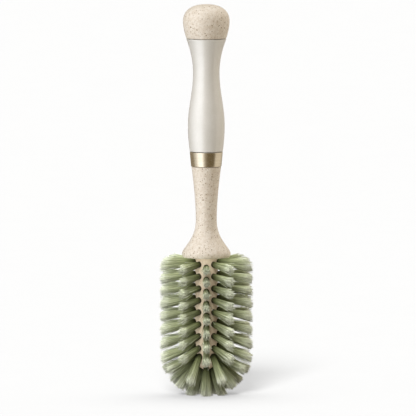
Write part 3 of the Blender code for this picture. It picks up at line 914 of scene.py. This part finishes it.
def straw_flecks_group():
    """Moulded plastic filled with ground straw: a fine mottle under flecks of several sizes."""
    tree, given = new_group("Straw flecks", ("Base", "Pale", "Fleck"), ("Fleck Amount", "Roughness"))
    place = object_place(tree)
    mottle = noise(tree, place, scale=900.0, detail=4.0, roughness=0.6)["Fac"]
    cloud = noise(tree, place, scale=420.0, detail=2.0)["Fac"]
    tone = ranged(tree, math_node(tree, "ADD", mottle, cloud), start=0.8, end=1.2)
    color = mix_color(tree, tone, given["Base"], given["Pale"])
    mask = math_node(tree, "MULTIPLY", fleck_mask(tree, place), given["Fleck Amount"], clamp=True)
    color = mix_color(tree, mask, color, given["Fleck"])
    swing = math_node(tree, "MULTIPLY_ADD", mottle, MOTTLE_ROUGHNESS, -MOTTLE_ROUGHNESS / 2)
    rough = math_node(tree, "ADD", swing, given["Roughness"])
    pit = math_node(tree, "MULTIPLY", mask, FLECK_PIT)
    height = math_node(tree, "SUBTRACT", mottle, pit)
    node(tree, "NodeGroupOutput", {"Color": color, "Roughness": rough, "Height": height})
    return tree


def fine_mottle_group():
    """The slight cloudiness and orange peel of plain moulded plastic and rubber."""
    values = ("Roughness", "Roughness Spread", "Scale")
    tree, given = new_group("Fine mottle", ("Dark", "Light"), values)
    place = object_place(tree)
    grain = noise(tree, place, scale=given["Scale"], detail=4.0)["Fac"]
    cloud = noise(tree, place, scale=90.0, detail=2.0)["Fac"]
    tone = ranged(tree, math_node(tree, "ADD", grain, cloud), start=0.75, end=1.25)
    color = mix_color(tree, tone, given["Dark"], given["Light"])
    swing = math_node(tree, "SUBTRACT", tone, 0.5)
    swing = math_node(tree, "MULTIPLY", swing, given["Roughness Spread"])
    rough = math_node(tree, "ADD", swing, given["Roughness"])
    node(tree, "NodeGroupOutput", {"Color": color, "Roughness": rough, "Height": grain})
    return tree


def turned_streaks_group():
    """Fine lines round the axis, as a lathe and a brushing pad leave them on metal."""
    tree, given = new_group("Turned streaks", ("Dark", "Light"), ("Roughness", "Roughness Spread"))
    lines = noise(tree, scaled_place(tree, across=60.0, along=9000.0), scale=1.0, detail=3.0)["Fac"]
    patches = noise(tree, scaled_place(tree, across=160.0, along=420.0), scale=1.0, detail=2.0)["Fac"]
    tone = ranged(tree, lines, start=0.3, end=0.7)
    color = mix_color(tree, tone, given["Dark"], given["Light"])
    swing = math_node(tree, "ADD", lines, patches)
    swing = math_node(tree, "SUBTRACT", swing, 1.0)
    swing = math_node(tree, "MULTIPLY", swing, given["Roughness Spread"])
    rough = math_node(tree, "ADD", swing, given["Roughness"], clamp=True)
    node(tree, "NodeGroupOutput", {"Color": color, "Roughness": rough, "Height": lines})
    return tree


def new_material(name):
    made = bpy.data.materials.new(name)
    made.use_nodes = True
    return made, made.node_tree, made.node_tree.nodes["Principled BSDF"]


def patterned(name, group, values, bump, bump_height, **shader_values):
    """A material whose colour, roughness and bump come from one of the pattern groups."""
    made, tree, shader = new_material(name)
    pattern = node(tree, "ShaderNodeGroup", node_tree=group)
    for label, value in values.items():
        pattern.inputs[label].default_value = value
    inputs = {"Height": pattern.outputs["Height"], "Strength": bump, "Distance": bump_height}
    raised = node(tree, "ShaderNodeBump", inputs)
    tree.links.new(pattern.outputs["Color"], shader.inputs["Base Color"])
    tree.links.new(pattern.outputs["Roughness"], shader.inputs["Roughness"])
    tree.links.new(raised.outputs["Normal"], shader.inputs["Normal"])
    for label, value in shader_values.items():
        shader.inputs[label.replace("_", " ")].default_value = value
    return made


def speckled_plastic(group):
    values = {
        "Base": srgb(221, 209, 193),
        "Pale": srgb(237, 229, 218),
        "Fleck": srgb(122, 90, 6),
        "Fleck Amount": 1.0,
        "Roughness": 0.42,
    }
    return patterned(
        "speckled cream plastic",
        group,
        values,
        bump=0.22,
        bump_height=0.0002,
        Coat_Weight=0.35,
        Coat_Roughness=0.30,
    )


def core_plastic(group):
    values = {
        "Base": srgb(204, 187, 160),
        "Pale": srgb(214, 199, 174),
        "Fleck": srgb(140, 106, 70),
        "Fleck Amount": 0.5,
        "Roughness": 0.5,
    }
    return patterned("brown core plastic", group, values, bump=0.25, bump_height=0.0002)


def frosted_plastic(group):
    """Frosted wall, with painted shade that darkens it where it is seen on edge."""
    values = {
        "Dark": srgb(227, 226, 222),
        "Light": srgb(235, 234, 231),
        "Roughness": 0.36,
        "Roughness Spread": 0.06,
        "Scale": 1400.0,
    }
    made = patterned(
        "frosted pearl plastic",
        group,
        values,
        bump=0.06,
        bump_height=0.0001,
        Coat_Weight=1.0,
        Coat_Roughness=0.24,
        Coat_IOR=1.9,
        IOR=1.46,
    )
    tree = made.node_tree
    shader = tree.nodes["Principled BSDF"]
    plain = shader.inputs["Base Color"].links[0].from_socket
    # Painted shade: the wall's colour darkens where it faces aside
    aside = node(tree, "ShaderNodeLayerWeight", {"Blend": 0.5}).outputs["Facing"]
    painted_edge_shade = ranged(tree, aside, *PAINTED_EDGE_SHADE, high=PAINTED_EDGE_SHADE_SHARE, interpolation="SMOOTHSTEP")
    color = mix_color(tree, painted_edge_shade, plain, srgb(*PAINTED_EDGE_SHADE_COLOR))
    tree.links.new(color, shader.inputs["Base Color"])
    return made


def insert_plastic(group):
    values = {
        "Dark": srgb(196, 193, 184),
        "Light": srgb(214, 212, 204),
        "Roughness": 0.4,
        "Roughness Spread": 0.1,
        "Scale": 900.0,
    }
    return patterned("plain insert plastic", group, values, bump=0.08, bump_height=0.0001)


def seal_rubber(group):
    values = {
        "Dark": srgb(98, 80, 52),
        "Light": srgb(126, 106, 74),
        "Roughness": 0.66,
        "Roughness Spread": 0.14,
        "Scale": 1800.0,
    }
    return patterned("dark seal rubber", group, values, bump=0.3, bump_height=0.0001)


def brushed_brass(group):
    values = {
        "Dark": srgb(206, 196, 176),
        "Light": srgb(223, 215, 198),
        "Roughness": 0.25,
        "Roughness Spread": 0.08,
    }
    name = "brushed champagne brass"
    return patterned(name, group, values, bump=0.05, bump_height=0.00005, Metallic=1.0)


def rod_steel(group):
    values = {
        "Dark": srgb(176, 177, 178),
        "Light": srgb(205, 206, 206),
        "Roughness": 0.3,
        "Roughness Spread": 0.2,
    }
    name = "drawn rod steel"
    return patterned(name, group, values, bump=0.12, bump_height=0.00005, Metallic=1.0)


def point_value(tree, name):
    return node(tree, "ShaderNodeAttribute", attribute_name=name).outputs["Fac"]


def color_ramp(tree, value, stops, interpolation="LINEAR"):
    """A ramp through (position, colour) stops, in rising order."""
    made = node(tree, "ShaderNodeValToRGB", {"Fac": value})
    ramp = made.color_ramp
    ramp.interpolation = interpolation
    while len(ramp.elements) < len(stops):
        ramp.elements.new(0.5)
    for element, (position, color) in zip(ramp.elements, stops):
        element.position = position
        element.color = color
    return made.outputs["Color"]


def sage_bristle():
    """Nylon bristle: sage along its length, with painted shade darkening its root and painted light paling
    its tip.
    """
    made, tree, shader = new_material("sage green bristle")
    along = point_value(tree, "along")
    shade = point_value(tree, "shade")
    edge = point_value(tree, "edge")
    # Along this ramp painted shade darkens the root and painted light pales the tip
    stops = [(position, srgb(*color)) for position, *color in BRISTLE_COLORS_AND_PAINTED_LIGHT]
    # The bristle's tone carries its painted light on top of a tuft and its painted shade low on the dome
    spread = ranged(tree, shade, low=TONE_AND_PAINTED_LIGHT_GAIN[0], high=TONE_AND_PAINTED_LIGHT_GAIN[1])
    # Painted shade: bristles at the rim of a tuft are made darker than those in its middle
    rim = ranged(tree, edge, low=PAINTED_RIM_SHADE_GAIN[0], high=PAINTED_RIM_SHADE_GAIN[1])
    gain = math_node(tree, "MULTIPLY", spread, rim)
    tint = node(tree, "ShaderNodeCombineColor", {0: gain, 1: gain, 2: gain}).outputs["Color"]
    color = mix_color(tree, 1.0, color_ramp(tree, along, stops), tint, "MULTIPLY")
    tree.links.new(color, shader.inputs["Base Color"])
    rough = ranged(tree, shade, low=BRISTLE_ROUGHNESS[0], high=BRISTLE_ROUGHNESS[1])
    tree.links.new(rough, shader.inputs["Roughness"])
    shader.inputs["Specular IOR Level"].default_value = 0.3
    return made


def floor_paint():
    """Matt paint with a faint mottle and an even brightness of its own."""
    made, tree, shader = new_material("pale floor")
    grain = noise(tree, object_place(tree), scale=30.0, detail=2.0)["Fac"]
    color = mix_color(tree, grain, grey(FLOOR_PAINT - FLOOR_MOTTLE), grey(FLOOR_PAINT + FLOOR_MOTTLE))
    tree.links.new(color, shader.inputs["Base Color"])
    shader.inputs["Roughness"].default_value = 1.0
    shader.inputs["Specular IOR Level"].default_value = 0.0
    shader.inputs["Emission Color"].default_value = grey(1.0)
    shader.inputs["Emission Strength"].default_value = FLOOR_GLEAM
    return made


def studio_floor():
    deselect_all()
    bpy.ops.mesh.primitive_plane_add(size=FLOOR_SIDE, location=(0.0, 0.0, 0.0))
    floor = bpy.context.object
    floor.name = "studio_floor"
    floor.data.materials.append(floor_paint())
    floor.visible_diffuse = False
    floor.visible_glossy = False
    return floor


def light_round(tree, angle, bands):
    """The colour of the light from an angle round the brush, 0 to 1 for the whole turn."""
    stops = []
    for degrees, strength, warmth in bands:
        tint = [1 + (warm - 1) * warmth for warm in WARM_LIGHT]
        color = (*(strength / BAND_PEAK * part for part in tint), 1.0)
        stops.append(((degrees + 180) / 360, color))
    return vector_math(tree, "MULTIPLY", color_ramp(tree, angle, stops, "EASE"), (BAND_PEAK,) * 3)


def studio_room():
    """Light from all round: bands of soft light by direction, an even ceiling, and a plain white backdrop."""
    world = bpy.data.worlds.new("studio room")
    bpy.context.scene.world = world
    world.use_nodes = True
    world.cycles.sampling_method = "NONE"
    tree = world.node_tree
    place = node(tree, "ShaderNodeTexCoord").outputs["Generated"]
    apart = node(tree, "ShaderNodeSeparateXYZ", {"Vector": place}).outputs
    toward = math_node(tree, "MULTIPLY", apart["Y"], -1.0)
    angle = math_node(tree, "ARCTAN2", apart["X"], toward)
    turn = ranged(tree, angle, start=-math.pi, end=math.pi)
    from_below = ranged(tree, apart["Z"], start=BELOW_ENDS, end=LEVEL_STARTS, low=LIGHT_FROM_BELOW)
    falling = vector_math(tree, "MULTIPLY", light_round(tree, turn, FALLING_LIGHT), from_below)
    reflected = light_round(tree, turn, REFLECTED_LIGHT)
    ray = node(tree, "ShaderNodeLightPath").outputs
    band = mix_vectors(tree, ray["Is Glossy Ray"], falling, reflected)
    overhead = ranged(tree, apart["Z"], start=CEILING_STARTS, end=CEILING_FULL)
    light = mix_vectors(tree, overhead, band, (CEILING,) * 3)
    seen = mix_vectors(tree, ray["Is Camera Ray"], light, (BACKDROP,) * 3)
    tree.links.new(seen, tree.nodes["Background"].inputs["Color"])


def grouped(name, pieces):
    group = bpy.data.collections.new(name)
    for piece in pieces:
        group.objects.link(piece)
    return group


def lamp(name, values, lit, blocking):
    """A distant lamp that lights only some pieces, and that only some pieces block."""
    elevation, turned_round, spread, power = values
    data = bpy.data.lights.new(name, "SUN")
    data.energy = power
    data.angle = math.radians(spread)
    obj = bpy.data.objects.new(name, data)
    bpy.context.scene.collection.objects.link(obj)
    obj.rotation_euler = (math.radians(90 - elevation), 0.0, math.radians(turned_round))
    obj.light_linking.receiver_collection = grouped("lit by " + name, lit)
    obj.light_linking.blocker_collection = grouped("blocks " + name, blocking)


def camera():
    data = bpy.data.cameras.new("camera")
    data.sensor_width = SENSOR
    data.sensor_height = SENSOR
    data.lens = SENSOR * CAMERA_DISTANCE / (PIXEL * PICTURE_SIDE)
    data.clip_end = 2 * FLOOR_SIDE
    obj = bpy.data.objects.new("camera", data)
    bpy.context.scene.collection.objects.link(obj)
    away = Vector((0.0, -math.cos(CAMERA_ELEVATION), math.sin(CAMERA_ELEVATION)))
    obj.location = VIEW_CENTRE + away * CAMERA_DISTANCE
    obj.rotation_euler = (math.pi / 2 - CAMERA_ELEVATION, 0.0, 0.0)
    bpy.context.scene.camera = obj


def finishes():
    """Every material of the brush, by the slot that it fills."""
    flecks = straw_flecks_group()
    mottle = fine_mottle_group()
    streaks = turned_streaks_group()
    return {
        "speckled_plastic": speckled_plastic(flecks),
        "core_plastic": core_plastic(flecks),
        "frosted_handle": frosted_plastic(mottle),
        "insert_plastic": insert_plastic(mottle),
        "seal_rubber": seal_rubber(mottle),
        "brushed_brass": brushed_brass(streaks),
        "rod_steel": rod_steel(streaks),
        "sage_bristle": sage_bristle(),
    }


def finish_piece(materials, obj, body, slot, *nodes):
    """Gives a piece the material of its slot and its body, and hides the CAD nodes that it stands for."""
    obj.data.materials.clear()
    obj.data.materials.append(materials[slot])
    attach(obj, body)
    if nodes:
        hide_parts(*nodes)


def turned_shells(materials):
    """The knob, the sleeve, the ferrule and the neck."""
    knob = turned("mushroom_knob", knob_outline(), closed=False, edge_round=KNOB_EDGE_ROUND)
    finish_piece(materials, knob, "knob", "speckled_plastic", "knob")
    sleeve = turned("frosted_sleeve", handle_outline(), closed=True, edge_round=HANDLE_EDGE_ROUND)
    finish_piece(materials, sleeve, "handle", "frosted_handle", "handle_sleeve")
    ferrule = turned("brass_ferrule", ferrule_outline(), closed=True, edge_round=EDGE_ROUND)
    finish_piece(materials, ferrule, "handle", "brushed_brass", "ferrule")
    neck = turned("flared_neck", neck_outline(), closed=True, edge_round=EDGE_ROUND)
    finish_piece(materials, neck, "handle", "speckled_plastic", "neck")


def brush_head(materials):
    """The drilled core, the columns of tufts round it and the crown of tufts on its domed end."""
    columns = [column_places(column) for column in COLUMNS]
    end = dome_places()
    core = turned("drilled_core", core_outline(), closed=False, edge_round=EDGE_ROUND)
    drill_sockets(core, [place for places in columns for place in places] + end)
    finish_piece(materials, core, "head", "core_plastic", "core")
    rng = np.random.default_rng(SEED)
    blank = bristle_blank()
    pieces = [core]
    for number, places in enumerate(columns, start=1):
        column = tufts(f"tuft_column_{number:02d}", places, blank, rng)
        finish_piece(materials, column, "head", "sage_bristle", f"bristle_column_{number:02d}")
        pieces.append(column)
    crown = tufts("tuft_crown", end, blank, rng)
    finish_piece(materials, crown, "head", "sage_bristle", "bristle_crown")
    return [*pieces, crown]


def screw_threads(materials):
    """The raised threads on the knob's stud and on the rod, which the CAD has as plain cylinders."""
    stud_thread = thread("stud_thread", KNOB_STUD_RADIUS, STUD_THREAD_TOP)
    finish_piece(materials, stud_thread, "knob", "insert_plastic")
    rod_thread = thread("rod_thread", ROD_RADIUS, ROD_THREAD_TOP)
    finish_piece(materials, rod_thread, "handle", "rod_steel")


def dress_kept_pieces(materials, nodes):
    """CAD pieces whose shape is right keep it, and take a better material."""
    for slot, names in KEPT_PIECES.items():
        for name in names:
            for material_slot in nodes[name].material_slots:
                material_slot.material = materials[slot]


def main():
    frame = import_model()
    bpy.context.scene.view_settings.view_transform = "Standard"
    camera()
    studio_room()
    floor = studio_floor()
    materials = finishes()
    turned_shells(materials)
    head = brush_head(materials)
    lamp("tuft lamp", TUFT_LAMP, head, head)
    lamp("back shadow lamp", BACK_SHADOW_LAMP, [floor], head)
    lamp("under shadow lamp", UNDER_SHADOW_LAMP, [floor], head)
    screw_threads(materials)
    dress_kept_pieces(materials, frame["nodes"])


main()
